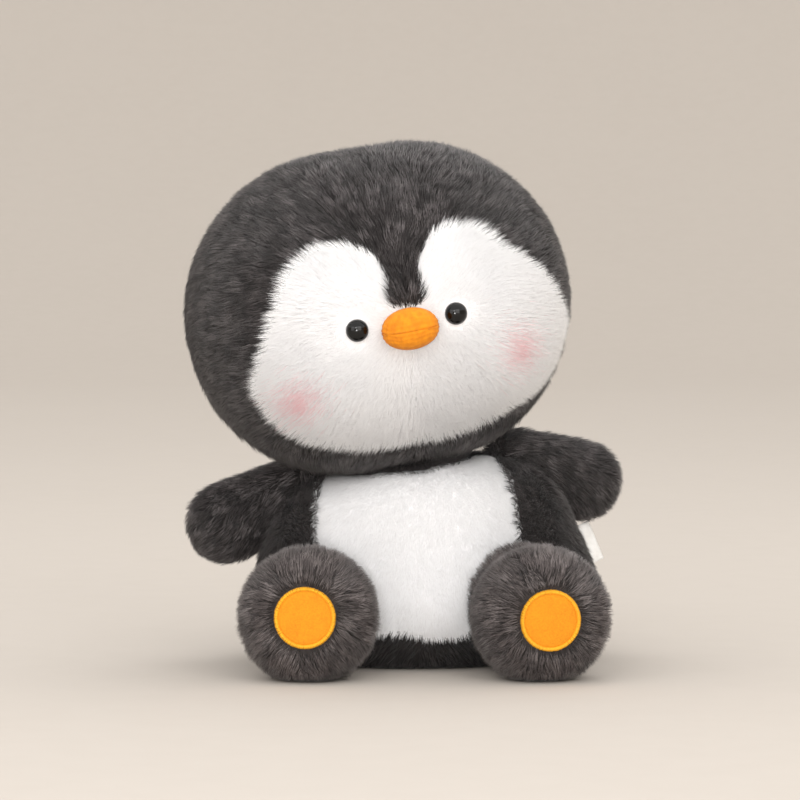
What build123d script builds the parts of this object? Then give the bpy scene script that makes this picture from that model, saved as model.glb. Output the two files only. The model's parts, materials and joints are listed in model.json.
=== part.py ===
"""Plush penguin, sitting: big round head, pear-shaped body, two stub flippers, two round feet.

Millimetres. +Z is up, the penguin faces -Y, +X is the penguin's own left. The origin is the
middle of the flat patch that it sits on. The whole toy leans a few degrees towards -X and the
head is turned a few degrees towards +X, which is how the soft body settles.

Each fabric panel is a shell as thick as its backing and the dense foot of its pile. Loose pile
tips stand a few millimetres further out. Where a limb or the head is sewn on, the two sides
meet in a ball and a hollow about the point that they flex about, with a small gap.
"""

import os
from math import asin, cos, pi, radians, sin, sqrt

from build123d import *

os.makedirs("parts", exist_ok=True)

# ---------------------------------------------------------------- driving dimensions
skin = 3.0            # fabric backing with the dense foot of the pile
fill_gap = 0.2        # between a stuffing and the skin round it
flex_gap = 0.4        # between two bodies that flex against each other
fit_gap = 0.1         # round the eye, its shank and its washer
lean = 7.3            # degrees, whole toy towards -X
head_roll = 8.5       # degrees, head towards -X
head_turn = 11.0      # degrees, face towards +X
head_pitch = 6.0      # degrees, face downwards

head_centre = (-24.5, -24.0, 195.5)
head_half_width = 101.5
head_radius = 83.5                # round about the left-right axis, and at both ends
face_setback = 2.0                # the face outline is projected from here, ahead of the middle
face_depth = 105.0                # how far forward the face outline is projected
peak_half_width = 8.0             # the dark peak between the two face panels
peak_shift = 1.5                  # towards the left
left_cheek = 95.5                 # how far each face panel reaches to its side
right_cheek = 79.5
chin_level = -38.0                # seam under the cheeks, below the middle of the head

torso_foot = (5.0, 0.0, 0.0)      # where the leaning axis meets the seat
torso_depth_ratio = 0.78
seat_lift = 16.0                  # how far the seat wraps up the sides
belly_setback = 8.0               # the belly panel ends this far in front of the middle
belly_depth = 100.0               # how far forward the belly outline is projected
torso_sections = [
    # half width, height along the leaning axis, how far the section sits back
    (60, -14, 0),
    (80, 6, 0),
    (93, 36, 0),
    (86, 62, -1),
    (79, 83, -3),
    (64, 99, -7),
    (46, 107, -11),
]
belly_outline = [
    (0, 19.5),
    (28, 22),
    (49, 42),
    (52, 72),
    (40, 112),
    (-8, 122),
    (-53, 104),
    (-57, 66),
    (-50, 38),
    (-26, 22),
]

neck_centre = (-7.8, -16.0, 103.0)
neck_radius = 26.0
collar_height = 16.0

eye_diameter = 12.0
eye_height = 5.0
eye_shoulder = (0.72, 0.66)       # point on the dome, as shares of its radius and height
eye_spread = 26.8                 # from the middle of the face
eye_level = -0.5                  # above the middle of the head
eye_sink = 1.5                    # how far the eye's rim sits into the skin
shank_diameter = 4.0
shank_length = 14.0
washer_diameter = 15.0
washer_thickness = 1.6

beak_half_width = 14.2
beak_radius = 11.0
beak_stand_off = 91.0             # from the middle of the head to the middle of the beak
beak_level = -3.5
beak_skin = 1.2

shoulder_spread = 59.0            # from the leaning axis
shoulder_height = 104.0           # along the leaning axis
flipper_root = 14.0
flipper_radius = 19.0
flipper_reach = 46.0              # from the shoulder to the middle of the round tip

leg_root = 30.0
leg_waist = 24.0
foot_radius = 33.5
foot_start = 26.0                 # radius where the waist runs into the foot
foot_reach = 54.0                 # from the hip to the fattest part of the foot
sole_reach = 75.0                 # from the hip to the flat of the sole
sole_radius = 22.0
pad_radius = 14.6
pad_thickness = 1.2
stitch_width = 1.8
stitch_height = 1.9
stitch_edge = 0.6                 # rounding of the stitching's outer edge

label_origin = (85.5, 14.0, 56.0)
label_width = 20.0                # about half of it is inside the seam
label_length = 24.0
label_tilt = 16.0                 # degrees
label_thickness = 0.8


# ---------------------------------------------------------------- helpers
def save(part, name):
    """Label a finished piece and write it as parts/NAME.step."""
    part.label = name
    export_step(part, f"parts/{name}.step")
    print(f"{name:24s} {part.volume / 1000:9.2f} cm3  solids {len(part.solids())}")


def ball(centre, radius):
    """A plain sphere, used to hollow the seats of the soft joints."""
    with BuildPart(Plane(origin=centre)) as sphere:
        Sphere(radius)
    return sphere.part


def axis_x(plane):
    """The plane's own x axis."""
    return Axis(plane.origin, plane.x_dir)


def spindle(plane, outline):
    """A half outline turned into a solid about the plane's x axis."""
    with BuildPart() as form:
        with BuildSketch(plane):
            add(outline)
            make_face()
        revolve(axis=axis_x(plane))
    return form.part


def capsule(plane, half, radius):
    """A round bar with two round ends, lying along the plane's x axis."""
    shoulder = half - radius
    slant = radius * sqrt(0.5)
    with BuildLine() as line:
        ThreePointArc((-half, 0), (-shoulder - slant, slant), (-shoulder, radius))
        Line((-shoulder, radius), (shoulder, radius))
        ThreePointArc((shoulder, radius), (shoulder + slant, slant), (half, 0))
        Line((half, 0), (-half, 0))
    return spindle(plane, line.line)


# ---------------------------------------------------------------- frames
roll_r = radians(head_roll)
turn_r = radians(head_turn)
lean_r = radians(lean)
# the face looks along the front direction; side is the penguin's left, top is the crown
head_front = Vector(cos(roll_r) * sin(turn_r), -cos(turn_r), sin(roll_r) * sin(turn_r))
head_front = head_front.rotate(Axis.X, head_pitch)
head_side = Vector(cos(roll_r) * cos(turn_r), sin(turn_r), sin(roll_r) * cos(turn_r))
head_side = head_side.rotate(Axis.X, head_pitch)
head_top = head_front.cross(head_side)
head_face = Plane(origin=head_centre, x_dir=head_side, z_dir=head_front)

torso_up = Vector(-sin(lean_r), 0, cos(lean_r))
torso_side = Vector(cos(lean_r), 0, sin(lean_r))
front = Plane(origin=(0, 0, 0), x_dir=(1, 0, 0), z_dir=(0, -1, 0))


# ---------------------------------------------------------------- head form
def head_form(inset):
    """The head as one rounded solid, smaller by inset all round."""
    return capsule(head_face, head_half_width - inset, head_radius - inset)


def head_surface_plane(x, level):
    """A plane on the rounded left or right end of the head, looking straight out of it."""
    end = (head_half_width - head_radius) * (1 if x > 0 else -1)
    depth = sqrt(head_radius**2 - (x - end) ** 2 - level**2)
    normal = head_side * (x - end)
    normal += head_front * depth
    normal += head_top * level
    origin = head_face.from_local_coords((x, level, depth))
    return Plane(origin=origin, x_dir=head_top, z_dir=normal)


head_outer = head_form(0) - ball(neck_centre, neck_radius + 2 * flex_gap)
head_inner = head_form(skin) - ball(neck_centre, neck_radius + 2 * flex_gap + skin)
head_shell = head_outer - head_inner


# ---------------------------------------------------------------- beak
beak_middle = Plane(
    origin=head_face.from_local_coords((0, beak_level, beak_stand_off)),
    x_dir=head_side,
    z_dir=head_front,
)
beak_cut = Plane(origin=beak_middle.origin, x_dir=head_side, z_dir=head_top)


def beak_form(inset):
    """The beak as a rounded bean lying across the face."""
    return capsule(beak_middle, beak_half_width - inset, beak_radius - inset)


beak_cover = beak_form(0) - head_form(0) - (beak_form(beak_skin) - head_form(-beak_skin))
for name, keep in (("beak_upper_cover", Keep.TOP), ("beak_lower_cover", Keep.BOTTOM)):
    with BuildPart() as beak_half:
        add(beak_cover)
        split(bisect_by=beak_cut, keep=keep)
    save(beak_half.part, name)
save(beak_form(beak_skin + fill_gap) - head_form(-beak_skin - fill_gap), "beak_stuffing")


# ---------------------------------------------------------------- eyes
eye_radius = eye_diameter / 2
eye_holes = []
for name, side in (("left", 1), ("right", -1)):
    seat = head_surface_plane(side * eye_spread, eye_level)
    across = Plane(origin=seat.origin, x_dir=seat.x_dir, z_dir=seat.y_dir)
    # in this sketch the eye looks along -y
    dome_middle = (eye_shoulder[0] * eye_radius, -eye_shoulder[1] * eye_height)
    with BuildPart() as eye:
        with BuildSketch(across):
            with BuildLine():
                Line((0, eye_sink), (0, -eye_height))
                ThreePointArc((0, -eye_height), dome_middle, (eye_radius, 0))
                Line((eye_radius, 0), (eye_radius, eye_sink))
                Line((eye_radius, eye_sink), (0, eye_sink))
            make_face()
        revolve(axis=Axis(seat.origin, seat.z_dir))
        with BuildSketch(seat):
            Circle(shank_diameter / 2)
        extrude(amount=-shank_length)
    save(eye.part, f"eye_{name}")

    washer_plane = seat.offset(-skin - fill_gap)
    with BuildPart() as washer:
        with BuildSketch(washer_plane):
            Circle(washer_diameter / 2)
            Circle(shank_diameter / 2 + fit_gap / 2, mode=Mode.SUBTRACT)
        extrude(amount=-washer_thickness)
    save(washer.part, f"eye_washer_{name}")

    with BuildPart() as eye_hole:
        with BuildSketch(seat.offset(skin)):
            Circle(eye_radius + fit_gap)
        extrude(amount=-skin - eye_sink - fit_gap)
        with BuildSketch(seat):
            Circle(shank_diameter / 2 + fit_gap)
        extrude(amount=-shank_length - fit_gap)
        with BuildSketch(washer_plane.offset(fit_gap)):
            Circle(washer_diameter / 2 + fit_gap)
        extrude(amount=-washer_thickness - 2 * fit_gap)
    eye_holes.append(eye_hole.part)


# ---------------------------------------------------------------- face and head panels
def face_prism(side, cheek):
    """One white face panel's outline, run forward through the head: brow lobe, cheek, jaw."""
    outline = [
        (side * peak_half_width + peak_shift, 7),
        (side * peak_half_width + peak_shift, 22),
        (side * 15 + peak_shift, 37),
        (side * 29, 43.5),
        (side * 45, 40.5),
        (side * 58, 28.5),
        (side * 0.88 * cheek, 3),
        (side * cheek, -24),
        (side * 0.91 * cheek, -41),
        (side * 56, -57),
        (side * 25, -65),
        (0, -66),
    ]
    with BuildPart() as prism:
        with BuildSketch(head_face.offset(face_setback)):
            with BuildLine():
                Line(outline[0], outline[1])
                for start in range(1, len(outline) - 1, 2):
                    ThreePointArc(outline[start], outline[start + 1], outline[start + 2])
                Line(outline[-1], (0, outline[0][1]))
                Line((0, outline[0][1]), outline[0])
            make_face()
        extrude(amount=face_depth)
    # the jaw stops short of the neck hollow, which the dark chin surrounds
    return prism.part - ball(neck_centre, neck_radius + 2 * skin)


cloth = head_shell - eye_holes[0] - eye_holes[1]
face_left = face_prism(1, left_cheek)
face_right = face_prism(-1, right_cheek)
save(cloth & face_left, "face_panel_left")
save(cloth & face_right, "face_panel_right")

dark_cloth = cloth - face_left - face_right
ear_seam = Plane(origin=head_face.origin, x_dir=head_side, z_dir=head_front)
chin_seam = Plane(
    origin=head_face.from_local_coords((0, chin_level, 0)), x_dir=head_side, z_dir=head_top
)
back_seam = Plane(origin=head_face.origin, x_dir=head_front, z_dir=head_side)

for name, half in (("head_crown_panel", Keep.TOP), ("head_chin_panel", Keep.BOTTOM)):
    with BuildPart() as front_panel:
        add(dark_cloth)
        split(bisect_by=ear_seam, keep=Keep.TOP)
        split(bisect_by=chin_seam, keep=half)
    save(front_panel.part, name)

for name, half in (("left", Keep.TOP), ("right", Keep.BOTTOM)):
    with BuildPart() as back_panel:
        add(dark_cloth)
        split(bisect_by=ear_seam, keep=Keep.BOTTOM)
        split(bisect_by=back_seam, keep=half)
    save(back_panel.part, f"head_back_panel_{name}")

head_fill = head_form(skin + fill_gap)
head_fill -= ball(neck_centre, neck_radius + 2 * flex_gap + skin + fill_gap)
save(head_fill - eye_holes[0] - eye_holes[1], "head_stuffing")


# ---------------------------------------------------------------- neck
neck_plane = Plane(origin=neck_centre, x_dir=torso_side, z_dir=torso_up)
with BuildPart(neck_plane) as neck_stuffing:
    Sphere(neck_radius - skin / 2 - fill_gap)
save(neck_stuffing.part, "neck_stuffing")

with BuildPart(neck_plane) as neck_collar:
    Cylinder(neck_radius * 2, collar_height)
    Sphere(neck_radius, mode=Mode.INTERSECT)
    Sphere(neck_radius - skin / 2, mode=Mode.SUBTRACT)
save(neck_collar.part, "neck_seam_collar")


# ---------------------------------------------------------------- limbs
def limb_plane(pivot, rise, turn, start):
    """Limb frame: x runs out along the limb, y is the level line that it is raised about.

    The limb starts along a level direction, is turned about +Z, and is then raised.
    """
    level = start.rotate(Axis.Z, turn)
    out = level * cos(radians(rise)) + Vector(0, 0, sin(radians(rise)))
    return Plane(origin=pivot, x_dir=out, z_dir=out.cross(out.cross(Vector(0, 0, 1))))


def flipper_outline(inset):
    """Half outline of a flipper: a small root ball, a taper and a round tip."""
    root = flipper_root - inset
    tip = flipper_radius - inset
    tilt = asin((tip - root) / flipper_reach)
    root_middle = (-root * sin(tilt + pi / 4), root * cos(tilt + pi / 4))
    root_end = (-root * sin(tilt), root * cos(tilt))
    tip_start = (flipper_reach - tip * sin(tilt), tip * cos(tilt))
    tip_middle = (flipper_reach + tip * cos(pi / 4), tip * sin(pi / 4))
    tip_end = (flipper_reach + tip, 0)
    with BuildLine() as line:
        ThreePointArc((-root, 0), root_middle, root_end)
        Line(root_end, tip_start)
        ThreePointArc(tip_start, tip_middle, tip_end)
        Line(tip_end, (-root, 0))
    return line.line


def leg_outline(inset):
    """Half outline of a leg: root ball, waist, round foot, flat sole."""
    root = leg_root - inset
    waist = leg_waist - inset
    instep = foot_start - inset
    radius = foot_radius - inset
    sole = sole_radius - inset / 2
    end = sole_reach - inset
    root_middle = (-root * sin(pi / 4), root * cos(pi / 4))
    waist_start = (sqrt(root**2 - waist**2), waist)
    waist_end = (foot_reach - sqrt(radius**2 - instep**2), instep)
    with BuildLine() as line:
        ThreePointArc((-root, 0), root_middle, waist_start)
        Line(waist_start, waist_end)
        ThreePointArc(waist_end, (foot_reach, radius), (end, sole))
        Line((end, sole), (end, 0))
        Line((end, 0), (-root, 0))
    return line.line


shoulder_left = Vector(torso_foot) + torso_side * shoulder_spread + torso_up * shoulder_height
shoulder_right = Vector(torso_foot) - torso_side * shoulder_spread + torso_up * shoulder_height
flipper_planes = {
    "left": limb_plane(shoulder_left, -17, 28, Vector(1, 0, 0)),
    "right": limb_plane(shoulder_right, -26, 5, Vector(-1, 0, 0)),
}
leg_planes = {
    "left": limb_plane(Vector(52.0, -52.0, 34.7), -1, 11, Vector(0, -1, 0)),
    "right": limb_plane(Vector(-58.0, -52.0, 30.9), 3, -3, Vector(0, -1, 0)),
}

for name, plane in flipper_planes.items():
    flipper_cloth = spindle(plane, flipper_outline(0)) - spindle(plane, flipper_outline(skin))
    for half, keep in (("upper", Keep.BOTTOM), ("under", Keep.TOP)):
        with BuildPart() as flipper_panel:
            add(flipper_cloth)
            split(bisect_by=plane, keep=keep)
        save(flipper_panel.part, f"flipper_{name}_{half}_panel")
    save(spindle(plane, flipper_outline(skin + fill_gap)), f"flipper_{name}_stuffing")

for name, plane in leg_planes.items():
    leg_cloth = spindle(plane, leg_outline(0)) - spindle(plane, leg_outline(skin))
    sole = Plane(
        origin=plane.origin + plane.x_dir * sole_reach, x_dir=plane.y_dir, z_dir=plane.x_dir
    )
    for piece, keep in (("cover", Keep.BOTTOM), ("sole_panel", Keep.TOP)):
        with BuildPart() as leg_panel:
            add(leg_cloth)
            split(bisect_by=sole.offset(-skin), keep=keep)
        save(leg_panel.part, f"leg_{name}_{piece}")
    save(spindle(plane, leg_outline(skin + fill_gap)), f"leg_{name}_stuffing")

    # the felt disc's edge is oversewn with satin stitch
    with BuildPart() as pad:
        with BuildSketch(sole):
            Circle(pad_radius)
        extrude(amount=pad_thickness)
    save(pad.part, f"sole_pad_{name}")

    with BuildPart() as stitching:
        with BuildSketch(sole):
            Circle(pad_radius + stitch_width / 2)
        extrude(amount=stitch_height)
        top_face = stitching.faces().sort_by(Axis(sole.origin, sole.z_dir))[-1]
        fillet(top_face.edges(), stitch_edge)
        with BuildSketch(sole):
            Circle(pad_radius - stitch_width / 2)
        extrude(amount=stitch_height, mode=Mode.SUBTRACT)
        add(pad.part, mode=Mode.SUBTRACT)
    save(stitching.part, f"sole_stitching_{name}")


# ---------------------------------------------------------------- torso
def torso_form(inset):
    """The pear-shaped body: oval sections up a leaning axis, cut flat where it sits."""
    top = torso_sections[-1][1]
    with BuildPart() as form:
        for half_width, height, back in torso_sections:
            raised = height - inset * max(0, height) / top
            centre = Vector(torso_foot) + torso_up * raised + Vector(0, back, 0)
            with BuildSketch(Plane(origin=centre, x_dir=torso_side, z_dir=torso_up)):
                Ellipse(half_width - inset, half_width * torso_depth_ratio - inset)
        loft()
        split(bisect_by=Plane.XY.offset(inset), keep=Keep.TOP)
    return form.part


def hollowed(form, extra):
    """The form without its neck, flipper and leg hollows, each grown by extra."""
    form -= ball(neck_centre, neck_radius + 2 * flex_gap + extra)
    for plane in flipper_planes.values():
        form -= spindle(plane, flipper_outline(-flex_gap - extra))
    for plane in leg_planes.values():
        form -= ball(plane.origin, leg_root + flex_gap + extra)
    return form


torso_shell = hollowed(torso_form(0), 0) - hollowed(torso_form(skin), skin)

with BuildPart() as belly_prism:
    with BuildSketch(front.offset(belly_setback)):
        with BuildLine():
            Spline(*belly_outline, periodic=True)
        make_face()
    extrude(amount=belly_depth)
save(torso_shell & belly_prism.part, "belly_panel")

dark_body = torso_shell - belly_prism.part
with BuildPart() as seat_panel:
    add(dark_body)
    split(bisect_by=Plane.XY.offset(seat_lift), keep=Keep.BOTTOM)
save(seat_panel.part, "seat_panel")

centre_seam = Plane(origin=torso_foot, x_dir=torso_up, z_dir=torso_side)
for name, keep in (("left", Keep.TOP), ("right", Keep.BOTTOM)):
    with BuildPart() as body_side:
        add(dark_body)
        split(bisect_by=Plane.XY.offset(seat_lift), keep=Keep.TOP)
        split(bisect_by=centre_seam, keep=keep)
    save(body_side.part, f"body_panel_{name}")

save(hollowed(torso_form(skin + fill_gap), skin + fill_gap), "body_stuffing")

label_plane = Plane(origin=label_origin, x_dir=torso_side, z_dir=(0, -1, 0))
with BuildPart() as care_label:
    with BuildSketch(label_plane):
        with Locations(Location((0, 0), label_tilt)):
            Rectangle(label_width, label_length)
    extrude(amount=label_thickness)
    add(torso_form(0), mode=Mode.SUBTRACT)
save(care_label.part, "care_label")
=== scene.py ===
"""Looks for the sitting plush penguin: sewn, stuffed skins under a real pile of strands.

Metres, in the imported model's own frame. Each soft CAD panel is replaced by a fabric piece cut
from a remeshed, inflated skin, and by pieces of pile rooted on it. The stuffings are replaced
by cores of fibre fill inside the skins. Everything is seeded, so it comes out the same each run.
"""

import json
import math
from collections import namedtuple

import bmesh
import bpy
import numpy as np
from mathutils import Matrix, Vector
from mathutils.bvhtree import BVHTree
from mathutils.kdtree import KDTree


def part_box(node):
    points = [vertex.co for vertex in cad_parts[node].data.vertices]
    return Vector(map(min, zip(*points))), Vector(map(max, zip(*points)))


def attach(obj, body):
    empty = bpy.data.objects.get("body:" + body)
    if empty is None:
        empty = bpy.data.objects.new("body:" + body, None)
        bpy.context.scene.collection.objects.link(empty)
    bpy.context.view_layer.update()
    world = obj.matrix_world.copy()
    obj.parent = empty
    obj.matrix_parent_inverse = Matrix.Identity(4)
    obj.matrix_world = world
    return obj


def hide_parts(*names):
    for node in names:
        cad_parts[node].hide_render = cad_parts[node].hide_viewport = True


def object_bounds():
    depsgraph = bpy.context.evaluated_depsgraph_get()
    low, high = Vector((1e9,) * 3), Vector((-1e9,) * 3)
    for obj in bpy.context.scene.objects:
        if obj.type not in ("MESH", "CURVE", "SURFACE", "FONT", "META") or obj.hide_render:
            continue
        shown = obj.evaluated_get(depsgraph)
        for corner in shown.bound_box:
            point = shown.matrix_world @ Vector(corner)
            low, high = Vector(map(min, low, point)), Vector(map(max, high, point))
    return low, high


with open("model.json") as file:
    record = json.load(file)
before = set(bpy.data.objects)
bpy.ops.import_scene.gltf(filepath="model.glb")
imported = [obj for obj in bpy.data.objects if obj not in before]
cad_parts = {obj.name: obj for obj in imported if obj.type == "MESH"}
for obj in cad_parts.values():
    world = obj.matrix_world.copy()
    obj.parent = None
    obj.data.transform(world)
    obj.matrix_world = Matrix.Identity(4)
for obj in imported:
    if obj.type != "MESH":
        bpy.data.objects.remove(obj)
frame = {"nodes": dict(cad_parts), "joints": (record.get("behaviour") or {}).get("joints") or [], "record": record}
cad_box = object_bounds()
scene = bpy.context.scene
nodes = frame["nodes"]
joints = {joint["name"]: joint for joint in frame["joints"]}
MM = 0.001
LOWEST = 0.3 * MM  # nothing that is made here comes nearer to the floor
FABRIC = 1.6 * MM  # thickness of the cloth panels
SKIN_GIVE = 2.5 * MM  # the most that blowing a skin up moves it
FILL_GAP = 3.2 * MM  # from a skin's outside to its fill
NECK_REACH = 27.5 * MM  # the head and the body have no pile nearer to the neck's middle than this
EYE_BARE = 7.4 * MM  # radius round an eye's middle that has no pile
PAD_BARE = 16.2 * MM  # radius round a felt pad's middle that has no pile
ROOT_DEPTH = 0.4 * MM  # how deep strands are rooted in the cloth
MOST_STRANDS = 19900  # in one piece
BLOWING_FRAMES = 20  # of cloth simulation for each skin
THINNER = 1.0  # share of the strands that are made
PAD_RADIUS = 14.6 * MM
STITCH_RADIUS = 15.1 * MM
EYE_RADIUS = 6.0 * MM
SHANK_RADIUS = 2.0 * MM
DOME_STEPS = 24
COLLAR_RADIUS = 25.2 * MM


# ------------------------------------------------------------------ small helpers
def unit(v):
    """Vectors made one long, by rows."""
    v = np.asarray(v, float)
    return v / np.maximum(np.linalg.norm(v, axis=-1, keepdims=True), 1e-12)


def vertices_of(obj):
    """Vertex positions of an object as an array."""
    co = np.empty(len(obj.data.vertices) * 3, np.float32)
    obj.data.vertices.foreach_get("co", co)
    return co.reshape(-1, 3).astype(float)


def place_vertices(obj, co):
    """Move an object's vertices to these positions."""
    obj.data.vertices.foreach_set("co", co.astype(np.float32).ravel())
    obj.data.update()


def normals_of(obj):
    """Smooth vertex normals of an object as an array."""
    out = np.empty(len(obj.data.vertices) * 3, np.float32)
    obj.data.vertices.foreach_get("normal", out)
    return out.reshape(-1, 3).astype(float)


def smooth(low, high, value):
    """0 below low, 1 above high, and an even curve between."""
    t = np.clip((value - low) / (high - low), 0, 1)
    return t * t * (3 - 2 * t)


def link(obj):
    """Put an object into the scene."""
    scene.collection.objects.link(obj)
    return obj


def shaded(obj, *materials):
    """Give an object its materials and smooth shading."""
    obj.data.materials.clear()
    for material in materials:
        obj.data.materials.append(material)
    obj.data.polygons.foreach_set("use_smooth", [True] * len(obj.data.polygons))
    return obj


def raw_mesh(name, co, faces):
    """A new object from points and faces."""
    data = bpy.data.meshes.new(name)
    data.from_pydata([tuple(p) for p in co], [], [tuple(int(i) for i in f) for f in faces])
    data.update()
    return link(bpy.data.objects.new(name, data))


def copy_of(names, label):
    """One new object holding copies of several CAD nodes."""
    points, faces, start = [], [], 0
    for name in names:
        data = nodes[name].data
        points.append(vertices_of(nodes[name]))
        faces += [[start + i for i in p.vertices] for p in data.polygons]
        start += len(data.vertices)
    return raw_mesh(label, np.concatenate(points), faces)


def applied(obj, kind, **settings):
    """Add one modifier, set it up and apply it."""
    modifier = obj.modifiers.new(kind.lower(), kind)
    for key, value in settings.items():
        setattr(modifier, key, value)
    evaluated = obj.evaluated_get(bpy.context.evaluated_depsgraph_get())
    data = bpy.data.meshes.new_from_object(evaluated)
    obj.modifiers.clear()
    obj.data = data
    return obj


def grounded(obj):
    """Flatten whatever of an object is under the plane the toy sits on."""
    co = vertices_of(obj)
    co[:, 2] = np.maximum(co[:, 2], LOWEST)
    place_vertices(obj, co)
    return obj


def largest_part(obj):
    """Keep the outermost closed part of a remeshed object and drop the pockets inside it."""
    mesh = bmesh.new()
    mesh.from_mesh(obj.data)
    left = set(mesh.verts)
    parts = []
    while left:
        seed = left.pop()
        part, edge = {seed}, [seed]
        while edge:
            for e in edge.pop().link_edges:
                for v in e.verts:
                    if v in left:
                        left.discard(v)
                        part.add(v)
                        edge.append(v)
        parts.append(part)
    keep = max(parts, key=len)
    bmesh.ops.delete(mesh, geom=[v for v in mesh.verts if v not in keep], context="VERTS")
    mesh.to_mesh(obj.data)
    mesh.free()
    return obj


# ------------------------------------------------------------------ frames read from the model
head_top = unit(joints["head_turn"]["axis"])
eye_middles = {side: vertices_of(nodes[f"eye_{side}"]).mean(0) for side in ("left", "right")}
head_side = unit(eye_middles["left"] - eye_middles["right"])
head_front = unit(np.cross(head_side, head_top))
head_nodes = [n for n in frame["record"]["behaviour"]["bodies"]["head"] if n.startswith("head_")]
head_nodes += ["face_panel_left", "face_panel_right"]
head_points = np.concatenate([vertices_of(nodes[n]) for n in head_nodes])


def middle_along(points, axis):
    """Half way between the two ends of some points along an axis, and half their spread."""
    along = points @ axis
    return (along.max() + along.min()) / 2, (along.max() - along.min()) / 2


side_at, head_half_width = middle_along(head_points, head_side)
front_at, head_radius = middle_along(head_points, head_front)
top_at = (head_points @ head_top).max() - head_radius
head_axes = np.array([head_side, head_top, head_front])
head_middle = np.linalg.solve(head_axes, np.array([side_at, top_at, front_at]))


def in_head(points):
    """Points as (side, level, depth) from the middle of the head."""
    return (np.asarray(points) - head_middle) @ head_axes.T


neck_at = np.array(joints["head_turn"]["pos_m"], float)


# ------------------------------------------------------------------ materials
def material(name, colour, roughness, sheen=0.0, coat=0.0, specular=0.4):
    """A Principled material with plain settings on its own sockets."""
    made = bpy.data.materials.new(name)
    made.use_nodes = True
    shader = made.node_tree.nodes["Principled BSDF"]
    shader.inputs["Base Color"].default_value = (*colour, 1)
    shader.inputs["Roughness"].default_value = roughness
    shader.inputs["Sheen Weight"].default_value = sheen
    shader.inputs["Sheen Roughness"].default_value = 0.4
    shader.inputs["Coat Weight"].default_value = coat
    shader.inputs["Coat Roughness"].default_value = 0.05
    shader.inputs["Specular IOR Level"].default_value = specular
    made.diffuse_color = (*colour, 1)
    return made


def textured(name, low, high, roughness, grain, bump, stretch=(1, 1, 1), **more):
    """A material whose colour and relief follow fine noise, and colour a broad one as well."""
    made = material(name, high, roughness, **more)
    tree = made.node_tree
    shader = tree.nodes["Principled BSDF"]
    place = tree.nodes.new("ShaderNodeTexCoord")
    scale = tree.nodes.new("ShaderNodeMapping")
    scale.inputs["Scale"].default_value = stretch
    fine = tree.nodes.new("ShaderNodeTexNoise")
    fine.inputs["Scale"].default_value = grain
    fine.inputs["Detail"].default_value = 6
    broad = tree.nodes.new("ShaderNodeTexNoise")
    broad.inputs["Scale"].default_value = grain / 12
    both = tree.nodes.new("ShaderNodeMath")
    both.operation = "MULTIPLY_ADD"
    both.inputs[1].default_value = 0.45
    ramp = tree.nodes.new("ShaderNodeValToRGB")
    ramp.color_ramp.elements[0].position = 0.4
    ramp.color_ramp.elements[0].color = (*low, 1)
    ramp.color_ramp.elements[1].position = 0.85
    ramp.color_ramp.elements[1].color = (*high, 1)
    relief = tree.nodes.new("ShaderNodeBump")
    relief.inputs["Strength"].default_value = bump
    relief.inputs["Distance"].default_value = 0.4 * MM
    tree.links.new(place.outputs["Object"], scale.inputs["Vector"])
    tree.links.new(scale.outputs["Vector"], fine.inputs["Vector"])
    tree.links.new(scale.outputs["Vector"], broad.inputs["Vector"])
    tree.links.new(broad.outputs["Fac"], both.inputs[0])
    tree.links.new(fine.outputs["Fac"], both.inputs[2])
    tree.links.new(both.outputs["Value"], ramp.inputs["Fac"])
    tree.links.new(ramp.outputs["Color"], shader.inputs["Base Color"])
    tree.links.new(fine.outputs["Fac"], relief.inputs["Height"])
    tree.links.new(relief.outputs["Normal"], shader.inputs["Normal"])
    return made


cloth_looks = {
    "dark_plush": textured("knit_dark", (0.012, 0.010, 0.010), (0.03, 0.026, 0.025), 0.95, 900, 0.6),
    "foot_plush": textured("knit_foot", (0.016, 0.013, 0.012), (0.04, 0.034, 0.032), 0.95, 900, 0.6),
    "white_plush": textured("knit_white", (0.82, 0.81, 0.815), (0.9, 0.89, 0.895), 0.95, 900, 0.6),
}
fill_look = textured("fibre_fill", (0.72, 0.71, 0.69), (0.9, 0.89, 0.87), 1.0, 300, 1.0)
thread_look = textured("seam_thread", (0.02, 0.018, 0.018), (0.07, 0.06, 0.06), 0.7, 2500, 0.5)
beak_look = textured(
    "beak_fleece", (0.60, 0.175, 0.003), (0.80, 0.275, 0.005), 0.85, 420, 0.6, (1, 1, 0.45), sheen=0.05
)
felt_look = textured(
    "pad_felt", (0.58, 0.185, 0.003), (0.73, 0.265, 0.006), 0.9, 1100, 0.5, sheen=0.05
)
stitch_look = textured("pad_thread", (0.74, 0.33, 0.008), (0.95, 0.46, 0.016), 0.45, 2600, 0.4, sheen=0.1)
eye_look = textured(
    "eye_gloss", (0.002, 0.002, 0.002), (0.004, 0.004, 0.004), 0.08, 60, 0.02, coat=0.05, specular=0.35
)
washer_look = textured("washer_white", (0.6, 0.6, 0.58), (0.8, 0.8, 0.78), 0.45, 800, 0.2)
satin_look = textured(
    "label_satin", (0.72, 0.71, 0.68), (0.88, 0.87, 0.85), 0.45, 1800, 0.35, (1, 1, 3), sheen=0.3
)


def tones(name, colours, roughness, sheen, specular=0.35):
    """Several plain shades of one strand, from the darkest up: the darker go on roots as painted shade and the
    lighter on tips as a painted highlight.
    """
    made = []
    for number, colour in enumerate(colours):
        made.append(
            material(f"{name}_{number}", colour, roughness, sheen=sheen, specular=specular)
        )
    return made


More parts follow.
